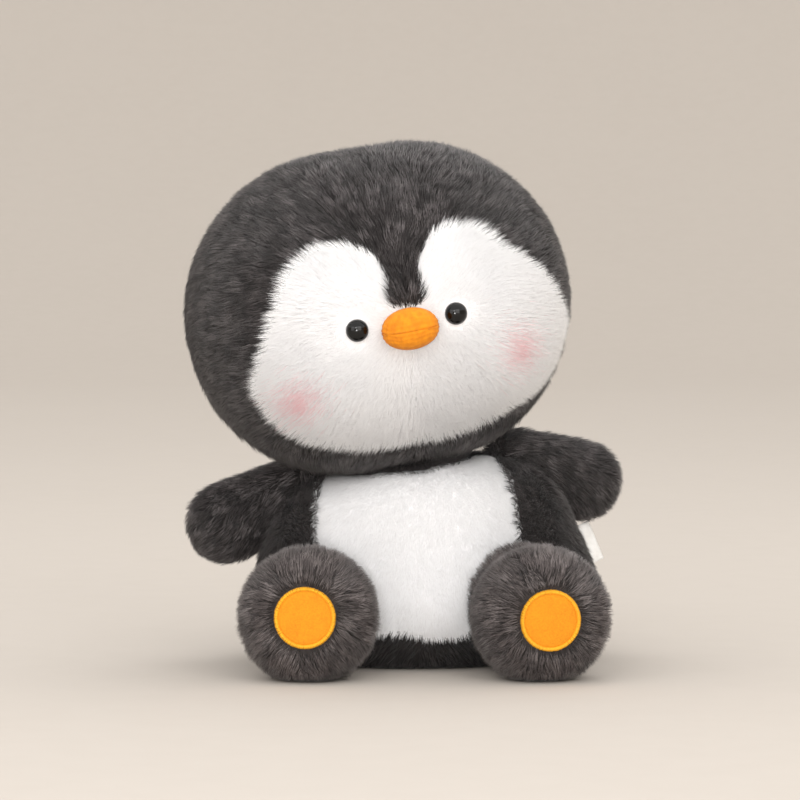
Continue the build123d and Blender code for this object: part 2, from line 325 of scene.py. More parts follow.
strand_looks = {
    "dark": tones(
        "strand_dark",
        [
            (0.0095, 0.0080, 0.0080),
            (0.019, 0.016, 0.016),
            (0.034, 0.029, 0.029),
            (0.055, 0.047, 0.047),
            (0.098, 0.086, 0.086),
            (0.170, 0.152, 0.153),
        ],
        0.6,
        0.15,
    ),
    "foot": tones(
        "strand_foot",
        [
            (0.024, 0.020, 0.0195),
            (0.050, 0.041, 0.040),
            (0.080, 0.067, 0.065),
            (0.118, 0.099, 0.096),
            (0.170, 0.145, 0.140),
            (0.240, 0.210, 0.205),
        ],
        0.6,
        0.15,
    ),
    "white": tones(
        "strand_white",
        [
            (0.945, 0.935, 0.945),
            (0.955, 0.948, 0.955),
            (0.965, 0.960, 0.966),
            (0.975, 0.972, 0.976),
            (0.985, 0.983, 0.987),
            (0.985, 0.74, 0.76),
            (0.985, 0.60, 0.63),
        ],
        0.8,
        0.0,
        0.15,
    ),
    "orange": tones(
        "strand_orange",
        [(0.66, 0.19, 0.004), (0.75, 0.25, 0.006), (0.81, 0.31, 0.010), (0.86, 0.37, 0.016)],
        0.7,
        0.1,
    ),
}


# ------------------------------------------------------------------ camera, floor and light
def aim(obj, place, target, roll_up="Y"):
    """Put an object somewhere and point its -Z at a target."""
    obj.location = place
    obj.rotation_euler = (Vector(target) - Vector(place)).to_track_quat("-Z", roll_up).to_euler()


box_low, box_high = cad_box
toy_middle = Vector((box_low + box_high) / 2)
camera = link(bpy.data.objects.new("camera", bpy.data.cameras.new("camera")))
camera_away = 2.0
camera.data.lens = 163.6923
camera.data.sensor_width = 36
camera.data.clip_end = 40
view_down = math.radians(2.5)
look_at = toy_middle + Vector((-0.0029, 0.0087, 0.0031))
aim(camera, look_at + camera_away * Vector((0, -math.cos(view_down), math.sin(view_down))), look_at)
scene.camera = camera


def studio():
    """A wide pale dish: flat where the toy sits, and curving up far away."""
    flat_reach, wall_radius, steps, around = 4, 3, 12, 72
    profile = [(0, 0), (0.5, 0), (1.5, 0), (flat_reach, 0)]
    for step in range(1, steps + 1):
        turn = math.radians(step * 90 / steps)
        level = wall_radius * (1 - math.cos(turn))
        profile.append((flat_reach + wall_radius * math.sin(turn), level))
    co, faces = [], []
    for r, z in profile:
        for k in range(around):
            a = 2 * math.pi * k / around
            co.append((r * math.cos(a), r * math.sin(a), z))
    for i in range(len(profile) - 1):
        for k in range(around):
            n = (k + 1) % around
            low, high = i * around, (i + 1) * around
            faces.append((low + k, high + k, high + n, low + n))
    dish = raw_mesh("studio_floor", np.array(co), faces)
    floor_look = textured("floor_pale", (0.515, 0.468, 0.42), (0.525, 0.478, 0.43), 0.9, 40, 0.0)
    shaded(dish, floor_look)


def area_light(name, place, size, power, colour=(1, 1, 1)):
    """One soft square light aimed at the toy."""
    lamp = link(bpy.data.objects.new(name, bpy.data.lights.new(name, "AREA")))
    lamp.data.shape = "SQUARE"
    lamp.data.size = size
    lamp.data.energy = power
    lamp.data.color = colour
    aim(lamp, toy_middle + Vector(place), toy_middle)


studio()
area_light("key_light", (0.9, -2.3, 0.85), 1.6, 20, (1.0, 0.99, 0.975))
area_light("fill_light", (-1.6, -2.1, 0.75), 1.6, 13, (0.99, 0.99, 1.0))
area_light("top_light", (0.1, 0.7, 1.7), 1.2, 5, (1.0, 1.0, 1.0))
area_light("low_light", (-0.1, -2.4, 0.1), 0.4, 15)
area_light("eye_light", (-0.2, -1.35, 0.62), 0.28, 2.2)
world = bpy.data.worlds.new("world") if scene.world is None else scene.world
scene.world = world
world.use_nodes = True
world.node_tree.nodes["Background"].inputs["Color"].default_value = (1.0, 0.985, 0.965, 1)
world.node_tree.nodes["Background"].inputs["Strength"].default_value = 1.33
scene.view_settings.view_transform = "Standard"


# ------------------------------------------------------------------ skins
SLOT_OF_PANEL = {}
BODY_PANELS = {}
for body, members in frame["record"]["behaviour"]["bodies"].items():
    panels = [n for n in members if n.endswith(("_panel", "_panel_left", "_panel_right", "_cover"))]
    panels = [n for n in panels if not n.startswith("beak")]
    if panels:
        BODY_PANELS[body] = panels
for panel in [p for panels in BODY_PANELS.values() for p in panels]:
    white = panel.startswith(("face", "belly"))
    SLOT_OF_PANEL[panel] = "white_plush" if white else "dark_plush"
    if panel.startswith("leg"):
        SLOT_OF_PANEL[panel] = "foot_plush"
FILL_OF_BODY = {
    "torso": "body_stuffing",
    "head": "head_stuffing",
    "flipper_left": "flipper_left_stuffing",
    "flipper_right": "flipper_right_stuffing",
    "leg_left": "leg_left_stuffing",
    "leg_right": "leg_right_stuffing",
}


def panel_finder(panels):
    """A search tree over some panels, and which panel each of its faces is from."""
    points, faces, owner, start = [], [], [], 0
    for number, name in enumerate(panels):
        data = nodes[name].data
        points += [Vector(v) for v in vertices_of(nodes[name])]
        faces += [[start + i for i in p.vertices] for p in data.polygons]
        owner += [number] * len(data.polygons)
        start = len(points)
    return BVHTree.FromPolygons(points, faces), owner


def owners(points, finder):
    """Number of the nearest panel for each point."""
    tree, owner = finder
    return np.array([owner[tree.find_nearest(Vector(p))[2]] for p in points])


def inflate(obj, hold, cap):
    """Blow a closed skin up as cloth, held along its seams, by at most cap."""
    rest = vertices_of(obj)
    group = obj.vertex_groups.new(name="hold")
    group.add([int(i) for i in np.nonzero(hold)[0]], 1.0, "REPLACE")
    cloth = obj.modifiers.new("cloth", "CLOTH")
    cloth.settings.quality = 5
    cloth.settings.mass = 0.3
    cloth.settings.tension_stiffness = 25
    cloth.settings.compression_stiffness = 25
    cloth.settings.bending_stiffness = 1.5
    cloth.settings.use_pressure = True
    cloth.settings.uniform_pressure_force = 4.0
    cloth.settings.effector_weights.gravity = 0
    cloth.settings.vertex_group_mass = "hold"
    cloth.collision_settings.use_collision = False
    cloth.point_cache.frame_end = BLOWING_FRAMES
    for step in range(1, BLOWING_FRAMES + 1):
        scene.frame_set(step)
    evaluated = obj.evaluated_get(bpy.context.evaluated_depsgraph_get())
    blown = bpy.data.meshes.new_from_object(evaluated)
    obj.modifiers.clear()
    obj.data = blown
    moved = vertices_of(obj) - rest
    far = np.linalg.norm(moved, axis=1, keepdims=True)
    place_vertices(obj, rest + moved * np.minimum(1, cap / np.maximum(far, 1e-9)))
    scene.frame_set(1)


def quiet_places(body):
    """Points and radii where a skin is held: round the eyes and under the beak."""
    if body != "head":
        return []
    beak = np.concatenate([vertices_of(nodes[f"beak_{h}_cover"]) for h in ("upper", "lower")])
    held = [(eye_middles["left"], 14 * MM), (eye_middles["right"], 14 * MM)]
    return [*held, (beak.mean(0), 18 * MM)]


def make_skin(body, panels):
    """The closed, inflated skin of one body, and the panel that owns each of its faces."""
    voxel = 4 * MM if body in ("head", "torso") else 3 * MM
    skin = copy_of([*panels, FILL_OF_BODY[body]], f"skin_{body}")
    applied(skin, "REMESH", mode="VOXEL", voxel_size=voxel, use_smooth_shade=True)
    largest_part(skin)
    applied(skin, "SMOOTH", factor=0.5, iterations=3)
    finder = panel_finder(panels)
    co = vertices_of(skin)
    near = owners(co, finder)
    edges = np.array([e.vertices[:] for e in skin.data.edges])
    seam = np.zeros(len(co), bool)
    split_edges = edges[near[edges[:, 0]] != near[edges[:, 1]]]
    seam[split_edges.ravel()] = True
    for centre, radius in quiet_places(body):
        seam |= np.linalg.norm(co - centre, axis=1) < radius
    inflate(skin, seam, SKIN_GIVE)
    applied(skin, "SMOOTH", factor=0.5, iterations=2)
    applied(skin, "SUBSURF", levels=1)
    grounded(skin)
    middles = np.array([p.center[:] for p in skin.data.polygons])
    return skin, owners(middles, finder)


def sub_mesh(source, wanted, name):
    """A new object from some of an object's faces."""
    co = vertices_of(source)
    faces = [source.data.polygons[int(i)].vertices[:] for i in np.nonzero(wanted)[0]]
    used = np.unique(np.concatenate([np.array(f) for f in faces]))
    renumber = np.full(len(co), -1)
    renumber[used] = np.arange(len(used))
    return raw_mesh(name, co[used], [[renumber[i] for i in f] for f in faces])


skins, face_owner = {}, {}
for body, panels in BODY_PANELS.items():
    skins[body], face_owner[body] = make_skin(body, panels)
skin_tree = {}
for body, skin in skins.items():
    points = [v.co.copy() for v in skin.data.vertices]
    skin_tree[body] = BVHTree.FromPolygons(points, [p.vertices[:] for p in skin.data.polygons])


def inside_other(point, body):
    """Whether a point is inside the skin of any other body, or inside the neck."""
    if body in ("head", "torso") and (Vector(point) - Vector(neck_at)).length < NECK_REACH:
        return True
    for other, tree in skin_tree.items():
        if other == body:
            continue
        place, normal, _, _ = tree.find_nearest(Vector(point), 0.04)
        if place is not None and (Vector(point) - place).dot(normal) < 0:
            return True
    return False


# ------------------------------------------------------------------ pile
def rows_of(obj):
    """Triangles of an object: corner numbers, and the face that each is part of."""
    obj.data.calc_loop_triangles()
    count = len(obj.data.loop_triangles)
    corners = np.empty(count * 3, np.int32)
    parent = np.empty(count, np.int32)
    obj.data.loop_triangles.foreach_get("vertices", corners)
    obj.data.loop_triangles.foreach_get("polygon_index", parent)
    return corners.reshape(-1, 3), parent


def scatter(obj, weight, density, rng):
    """Points spread over an object by area times weight, and the smooth normals there."""
    corners, parent = rows_of(obj)
    co, normals = vertices_of(obj), normals_of(obj)
    a, b, c = (co[corners[:, k]] for k in range(3))
    area = np.linalg.norm(np.cross(b - a, c - a), axis=1) / 2 * weight[parent]
    count = int(area.sum() * density)
    chosen = rng.choice(len(area), count, p=area / area.sum())
    u, v = rng.random(count), rng.random(count)
    flip = u + v > 1
    u[flip], v[flip] = 1 - u[flip], 1 - v[flip]
    w = 1 - u - v
    at = a[chosen] * w[:, None] + b[chosen] * u[:, None] + c[chosen] * v[:, None]
    n = sum(
        normals[corners[chosen, k]] * share[:, None] for k, share in enumerate((w, u, v))
    )
    return at, unit(n)


def turned(vectors, axes, angles):
    """Vectors at right angles to some axes, turned about them."""
    across = np.cross(axes, vectors)
    return vectors * np.cos(angles)[:, None] + across * np.sin(angles)[:, None]


def along_surface(vectors, normals):
    """The part of some vectors that lies in the surface, one long."""
    return unit(vectors - (vectors * normals).sum(1)[:, None] * normals)


def swirl(points):
    """A slow, smooth wander of the pile's direction, in radians."""
    p = points / MM
    wave = 0.5 * np.sin(p @ np.array([0.11, 0.05, 0.07]) + 1.3)
    wave += 0.4 * np.sin(p @ np.array([-0.06, 0.17, 0.12]) + 0.4)
    wave += 0.35 * np.sin(p @ np.array([0.23, -0.11, 0.19]) + 2.1)
    return 0.32 * wave


def strands(name, root, middle, tip, width, root_shade_tone, tip_light_tone, looks, normal, blend):
    """A mesh of closed three-sided hairs, each bent once, shaded partly with the skin's normals."""
    count = len(root)
    points, corners, faces = 7, 24, 7  # of one hair
    out = unit(tip - root)
    side = unit(np.cross(out, np.roll(out, 1, axis=1) + 0.1))
    other = np.cross(out, side)
    co = np.empty((count, points, 3))
    facing = np.empty((count, points, 3))
    facing[:, 6] = out
    for k in range(3):
        a = 2 * math.pi * k / 3
        spoke = side * math.cos(a) + other * math.sin(a)
        co[:, k] = root + spoke * width[:, None]
        co[:, 3 + k] = middle + spoke * width[:, None] * 0.8
        facing[:, k] = spoke
        facing[:, 3 + k] = spoke
    co[:, 6] = tip
    co[:, :, 2] = np.maximum(co[:, :, 2], LOWEST)
    quads = [(0, 1, 4, 3), (1, 2, 5, 4), (2, 0, 3, 5)]
    triangles = [(2, 1, 0), (3, 4, 6), (4, 5, 6), (5, 3, 6)]
    pattern = np.array([i for f in quads + triangles for i in f])
    starts = np.array([0, 4, 8, 12, 15, 18, 21])
    base = np.arange(count)[:, None]
    data = bpy.data.meshes.new(name)
    data.vertices.add(count * points)
    data.vertices.foreach_set("co", co.astype(np.float32).ravel())
    data.loops.add(count * corners)
    data.loops.foreach_set("vertex_index", (base * points + pattern).astype(np.int32).ravel())
    data.polygons.add(count * faces)
    data.polygons.foreach_set("loop_start", (base * corners + starts).astype(np.int32).ravel())
    # root faces take the darker tone, a painted shade deep in the pile; tip faces take the lighter tone, a painted
    # highlight where the tips catch light
    tone = np.repeat(root_shade_tone[:, None], faces, axis=1)
    tone[:, 4:] = tip_light_tone[:, None]
    data.polygons.foreach_set("material_index", tone.astype(np.int32).ravel())
    data.polygons.foreach_set("use_smooth", np.ones(count * faces, bool))
    facing = unit(facing * (1 - blend) + normal[:, None] * blend)
    shading = data.attributes.new("custom_normal", "FLOAT_VECTOR", "POINT")
    shading.data.foreach_set("vector", facing.astype(np.float32).ravel())
    data.update(calc_edges=True)
    for look in looks:
        data.materials.append(look)
    return link(bpy.data.objects.new(name, data))


def gathered(root, tip, per_tuft, pull, rng):
    """Tips drawn together in small tufts, and a random number shared by each tuft."""
    count = len(root)
    spread = max(8, int(count / per_tuft))
    leaders = rng.choice(count, spread, replace=False)
    tree = KDTree(spread)
    for number, leader in enumerate(leaders):
        tree.insert(root[leader], number)
    tree.balance()
    mine = np.array([tree.find(p)[1] for p in root])
    leader = leaders[mine]
    aim_at = tip[leader] + (root - root[leader]) * 0.35
    strength = pull * (0.5 + 0.5 * rng.random(spread)[mine])
    return tip + (aim_at - tip) * strength[:, None], rng.random(spread)[mine]


def grow(panel, body, wanted, pile, rng):
    """Root a pile on one panel and make its pieces."""
    root, normal = scatter(skins[body], wanted, pile.density * THINNER, rng)
    direction = pile.flow(root, normal)
    direction = turned(direction, normal, swirl(root) + rng.normal(0, 0.16, len(root)))
    long = pile.length(root) * rng.uniform(0.8, 1.15, len(root))
    steep = pile.rise(root) + rng.normal(0, 0.09, len(root))
    root = root - normal * ROOT_DEPTH
    half = 0.45 * long
    first = np.minimum(steep + 0.35, 1.5)
    middle = root + half[:, None] * (
        normal * np.sin(first)[:, None] + direction * np.cos(first)[:, None]
    )
    last = np.maximum(steep - 0.3, 0.05)
    tip = middle + (long - half)[:, None] * (
        normal * np.sin(last)[:, None] + direction * np.cos(last)[:, None]
    )
    tip, shared = gathered(root, tip, pile.per_tuft, pile.pull, rng)
    middle = middle + (tip - middle) * 0.06
    low, high = pile.tones(root, shared, rng.random(len(root)), rng)
    thick = pile.width * rng.uniform(0.75, 1.25, len(root))
    blend = 0.8 if pile.shade == "white" else 0.2
    parts = max(1, math.ceil(len(root) / MOST_STRANDS))
    order = rng.permutation(len(root))
    for number, part in enumerate(np.array_split(order, parts)):
        piece = strands(
            f"{panel}_pile_{number + 1}",
            root[part],
            middle[part],
            tip[part],
            thick[part],
            low[part],
            high[part],
            strand_looks[pile.shade],
            normal[part],
            blend,
        )
        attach(piece, body)


# ------------------------------------------------------------------ which way the pile lies
down = np.array([0, 0, -1.0])
back = -head_front


def eye_parting(local):
    """Flow away from each eye, strong close to it, in the face's own side and level."""
    push = np.zeros((len(local), 2))
    for side in ("left", "right"):
        eye = in_head(eye_middles[side])
        away = local[:, :2] - eye[:2]
        gap = np.linalg.norm(away, axis=1)
        push += away / np.maximum(gap, 1e-6)[:, None] * np.exp(-((gap / (11 * MM)) ** 2))[:, None]
    return push


def face_flow(points, normals):
    """Out from the beak and the eyes over the face."""
    local = in_head(points)
    out = unit(local[:, :2] + np.array([0, 3 * MM])) + 1.6 * eye_parting(local)
    vectors = out[:, :1] * head_side + out[:, 1:2] * head_top
    return along_surface(vectors + 0.12 * down, normals)


def head_flow(points, normals):
    """Out from the face, back over the crown, down behind and down under the chin."""
    local = in_head(points)
    out = unit(local[:, :2])
    radial = out[:, :1] * head_side + out[:, 1:2] * head_top
    behind = smooth(-35 * MM, 25 * MM, -local[:, 2])[:, None]
    under = smooth(45 * MM, 75 * MM, -local[:, 1])[:, None]
    vectors = (1 - behind) * (radial + 0.55 * (1 - under) * back + 0.25 * down)
    vectors += under * (1.2 * down + 0.3 * head_front)
    over = smooth(0.15, 0.85, normals @ head_top)[:, None]
    outward = np.clip(local[:, :1] / head_half_width, -1, 1)
    vectors += behind * (down * (1 - over) + 1.2 * over * back + 0.35 * outward * head_side)
    return along_surface(vectors, normals)


belly_low, belly_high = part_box("belly_panel")
belly_middle = np.array((belly_low + belly_high) / 2)
belly_half = np.array((belly_high - belly_low) / 2)


def belly_flow(points, normals):
    """Down the belly, spreading a little."""
    vectors = np.tile(down, (len(points), 1))
    vectors[:, 0] += 6.0 * (points[:, 0] - belly_middle[0])
    return along_surface(vectors, normals)


def body_flow(points, normals):
    """In over the belly's edge at the front, and down and back elsewhere."""
    sideways = points[:, 0] - belly_middle[0]
    near = 1 - smooth(8 * MM, 30 * MM, abs(sideways) - belly_half[0])
    near *= points[:, 1] < -0.02
    near *= smooth(18 * MM, 34 * MM, points[:, 2])
    vectors = np.tile(down, (len(points), 1)) + 0.5 * np.array([0, 1.0, 0])
    vectors[:, 0] += 0.5 * np.sign(sideways)
    inward = np.zeros_like(vectors)
    inward[:, 0] = -np.sign(sideways)
    inward[:, 2] = -0.35
    vectors = vectors * (1 - near[:, None]) + 1.6 * inward * near[:, None]
    return along_surface(vectors, normals)


def limb_axis(body, node):
    """The unit vector out along a limb, from its joint to the middle of one of its nodes."""
    pivot = np.array(joints[f"{body}_raise"]["pos_m"], float)
    points = vertices_of(nodes[node])
    return unit((points.min(0) + points.max(0)) / 2 - pivot)


flipper_axis, leg_axis = {}, {}
for side in ("left", "right"):
    flipper_axis[side] = limb_axis(f"flipper_{side}", f"flipper_{side}_stuffing")
    leg_axis[side] = limb_axis(f"leg_{side}", f"leg_{side}_sole_panel")


def flipper_flow(side):
    """Out to the flipper's tip, swept down."""

    def flow(points, normals):
        way = flipper_axis[side] + 0.45 * down
        return along_surface(np.tile(way, (len(points), 1)), normals)

    return flow


def pad_middle(side):
    """Middle of the felt pad on a sole."""
    low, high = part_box(f"sole_pad_{side}")
    return np.array((low + high) / 2)


def foot_flow(side):
    """Out from the pad over the sole, then back along the leg."""

    def flow(points, normals):
        out = leg_axis[side]
        away = points - pad_middle(side)
        away -= (away @ out)[:, None] * out
        vectors = unit(away) - 0.55 * out + 0.2 * down
        return along_surface(vectors, normals)

    return flow


# ------------------------------------------------------------------ tones of the strands
def plain_tones(lows, tip_light_range):
    """A picker of each strand's root and tip shades from two ranges: the darker root range is painted shade deep
    in the pile, and the lighter tip range a painted highlight on the tips. It is called as face_tones is.
    """

    def pick(root, shared, own, rng):
        mix = 0.55 * shared + 0.45 * own
        low = lows[0] + np.floor(mix * (lows[1] - lows[0] + 0.999))
        high = tip_light_range[0] + np.floor(mix * (tip_light_range[1] - tip_light_range[0] + 0.999))
        return low.astype(int), high.astype(int)

    return pick


PINK, DEEP_PINK = 5, 6  # places of the two pinks among the white shades
blush_at = [(58 * MM, -25 * MM), (-57 * MM, -33 * MM)]
blush_radius = 10.5 * MM


def face_tones(root, shared, own, rng):
    """White strands, with a soft pink patch on each cheek."""
    low, high = plain_tones((0, 2), (2, 4))(root, shared, own, rng)
    local = in_head(root)
    for side, level in blush_at:
        gap = np.hypot(local[:, 0] - side, local[:, 1] - level)
        chance = 0.95 * np.exp(-((gap / blush_radius) ** 2))
        pink = rng.random(len(root)) < chance
        deep = rng.random(len(root)) < 0.45 * chance
        low[pink] = PINK
        high[pink] = PINK
        high[pink & deep] = DEEP_PINK
    return low, high


# ------------------------------------------------------------------ the soft pieces
def even(value):
    """The same value for every root."""
    return lambda root: np.full(len(root), value, float)


def face_length(root):
    """Short round the eyes and the beak, long at the edge of the face."""
    local = in_head(root)
    long = 5.0 * MM + 4.0 * MM * smooth(14 * MM, 60 * MM, np.hypot(local[:, 0], local[:, 1]))
    for side in ("left", "right"):
        gap = np.linalg.norm(local - in_head(eye_middles[side]), axis=1)
        long *= 0.6 + 0.4 * smooth(7 * MM, 13 * MM, gap)
    return long


def head_length(root):
    """Longer towards the cheeks and the nape."""
    return 10 * MM + 3.5 * MM * smooth(5 * MM, 60 * MM, -in_head(root)[:, 1])


def face_rise(root):
    """Lying flat near the beak and rising at the edge."""
    local = in_head(root)
    return 0.42 + 0.22 * smooth(25 * MM, 70 * MM, np.hypot(local[:, 0], local[:, 1]))


def clear_of(obj, centres, radius):
    """1 for each face of an object outside all of some balls, and 0 inside."""
    middles = np.array([p.center[:] for p in obj.data.polygons])
    keep = np.ones(len(middles))
    for centre in centres:
        keep *= np.linalg.norm(middles - centre, axis=1) > radius
    return keep


def exposed(body):
    """1 for each face of a skin that isn't buried in another body, and 0 for the rest."""
    return np.array(
        [
            0.0 if inside_other(p.center + p.normal * 2.5 * MM, body) else 1.0
            for p in skins[body].data.polygons
        ]
    )


Pile = namedtuple("Pile", "density length rise flow shade per_tuft pull width tones")


def pile_of(panel):
    """The pile that a panel has: strands per square metre first, and widths in metres."""
    # deep is the dark picker with its tips held to the middle shades, a painted shade for the body and the seat
    # below the head
    dark, deep = plain_tones((0, 1), (1, 5)), plain_tones((0, 1), (1, 3))
    white, foot = plain_tones((0, 2), (2, 4)), plain_tones((0, 2), (2, 5))
    if panel.startswith("face"):
        return Pile(
            3.0e6, face_length, face_rise, face_flow, "white", 4, 0.12, 0.10 * MM, face_tones
        )
    if panel.startswith("belly"):
        return Pile(
            3.0e6, even(5 * MM), even(0.5), belly_flow, "white", 4, 0.08, 0.10 * MM, white
        )
    if panel.startswith("head_crown"):
        return Pile(1.8e6, head_length, even(0.6), head_flow, "dark", 36, 0.45, 0.14 * MM, dark)
    if panel.startswith("head_chin"):
        return Pile(
            1.7e6, even(10.5 * MM), even(0.66), head_flow, "dark", 36, 0.45, 0.14 * MM, dark
        )
    if panel.startswith("head_back"):
        return Pile(1.3e6, head_length, even(0.58), head_flow, "dark", 25, 0.45, 0.165 * MM, dark)
    if panel.startswith("seat"):
        # the seat and the body take deep's darker tips: the same dark plush as the head, with painted shade
        return Pile(0.6e6, even(8 * MM), even(0.5), body_flow, "dark", 25, 0.5, 0.18 * MM, deep)
    if panel.startswith("body"):
        return Pile(1.15e6, even(9.5 * MM), even(0.58), body_flow, "dark", 25, 0.5, 0.17 * MM, deep)
    side = "left" if "left" in panel else "right"
    if panel.startswith("flipper"):
        flow = flipper_flow(side)
        return Pile(1.7e6, even(9 * MM), even(0.66), flow, "dark", 36, 0.5, 0.15 * MM, dark)
    flow = foot_flow(side)
    return Pile(1.6e6, even(8.5 * MM), even(0.72), flow, "foot", 36, 0.5, 0.15 * MM, foot)


for body, panels in BODY_PANELS.items():
    skin = skins[body]
    open_face = exposed(body)
    if body == "head":
        open_face *= clear_of(skin, list(eye_middles.values()), EYE_BARE)
    if body.startswith("leg"):
        side = body.split("_")[1]
        open_face *= clear_of(skin, [pad_middle(side)], PAD_BARE)
    for number, panel in enumerate(panels):
        mine = face_owner[body] == number
        fabric = sub_mesh(skin, mine, f"{panel}_fabric")
        grounded(applied(fabric, "SOLIDIFY", thickness=FABRIC, offset=-1))
        shaded(fabric, cloth_looks[SLOT_OF_PANEL[panel]])
        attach(fabric, body)
        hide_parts(panel)
        seed = sum(ord(letter) * (place + 1) for place, letter in enumerate(panel))
        rng = np.random.default_rng(seed)
        grow(panel, body, open_face * mine, pile_of(panel), rng)


def core(name, node, body, source, shrink, look=fill_look):
    """A closed, slightly lumpy core of fibre fill inside a skin."""
    piece = link(source.copy())
    piece.data = source.data.copy()
    piece.name = name
    co, normals = vertices_of(piece), normals_of(piece)
    p = co / MM
    lumps = np.sin(p @ [0.31, 0.12, 0.2]) * np.sin(p @ [-0.14, 0.33, 0.1] + 1)
    place_vertices(piece, co - normals * (shrink - 0.5 * MM * lumps[:, None]))
    grounded(piece)
    shaded(piece, look)
    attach(piece, body)
    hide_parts(node)


for body, node in FILL_OF_BODY.items():
    core(f"{node}_fibre", node, body, skins[body], FILL_GAP)
    bpy.data.objects.remove(skins[body])
neck_ball = copy_of(["neck_stuffing"], "neck_ball")
applied(neck_ball, "REMESH", mode="VOXEL", voxel_size=3 * MM)
core("neck_stuffing_fibre", "neck_stuffing", "neck", neck_ball, 0.5 * MM, cloth_looks["dark_plush"])
bpy.data.objects.remove(neck_ball)


def seam_collar():
    """The gathered band round the neck: a soft ring with small pleats."""
    up = unit(joints["head_turn"]["axis"])
    along = unit(np.cross(up, [0, 1.0, 0]))
    across = np.cross(up, along)
    around, steps, pleats, half_height = 240, 12, 40, 7.6 * MM
    co, faces = [], []
    for i in range(around):
        a = 2 * math.pi * i / around
        spoke = along * math.cos(a) + across * math.sin(a)
        pleat = 0.35 * MM * math.sin(a * pleats)
        for k in range(steps):
            b = 2 * math.pi * k / steps
            high = half_height * math.sin(b)
            reach = math.sqrt(COLLAR_RADIUS**2 - high**2) + (0.6 * MM + pleat) * math.cos(b)
            co.append(neck_at + spoke * reach + up * high)
    for i in range(around):
        n = (i + 1) % around
        for k in range(steps):
            m = (k + 1) % steps
            faces.append((i * steps + k, n * steps + k, n * steps + m, i * steps + m))
    band = shaded(raw_mesh("neck_collar_gathers", np.array(co), faces), thread_look)
    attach(band, "neck")
    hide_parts("neck_seam_collar")
    collar_pile(up, along, across)


def collar_pile(up, along, across):
    """Dark pile on the collar, which closes the gap under the chin."""
    rng = np.random.default_rng(21)
    count = int(14000 * THINNER)
    a, high = rng.uniform(0, 2 * math.pi, count), rng.uniform(-9, 9, count)[:, None] * MM
    spoke = np.cos(a)[:, None] * along + np.sin(a)[:, None] * across
    root = neck_at + spoke * np.sqrt((COLLAR_RADIUS - 0.6 * MM) ** 2 - high**2) + up * high
    lean = unit(spoke + 0.25 * up * rng.normal(0, 1, (count, 1)) + rng.normal(0, 0.2, root.shape))
    long = rng.uniform(9, 13, count)[:, None] * MM
    middle, tip = root + lean * long * 0.5, root + lean * long + down * 2 * MM
    low, top = plain_tones((0, 1), (1, 3))(root, rng.random(count), rng.random(count), rng)
    thick = np.full(count, 0.17 * MM)
    looks = strand_looks["dark"]
    pile = strands("neck_collar_pile", root, middle, tip, thick, low, top, looks, spoke, 0.35)
    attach(pile, "neck")


seam_collar()


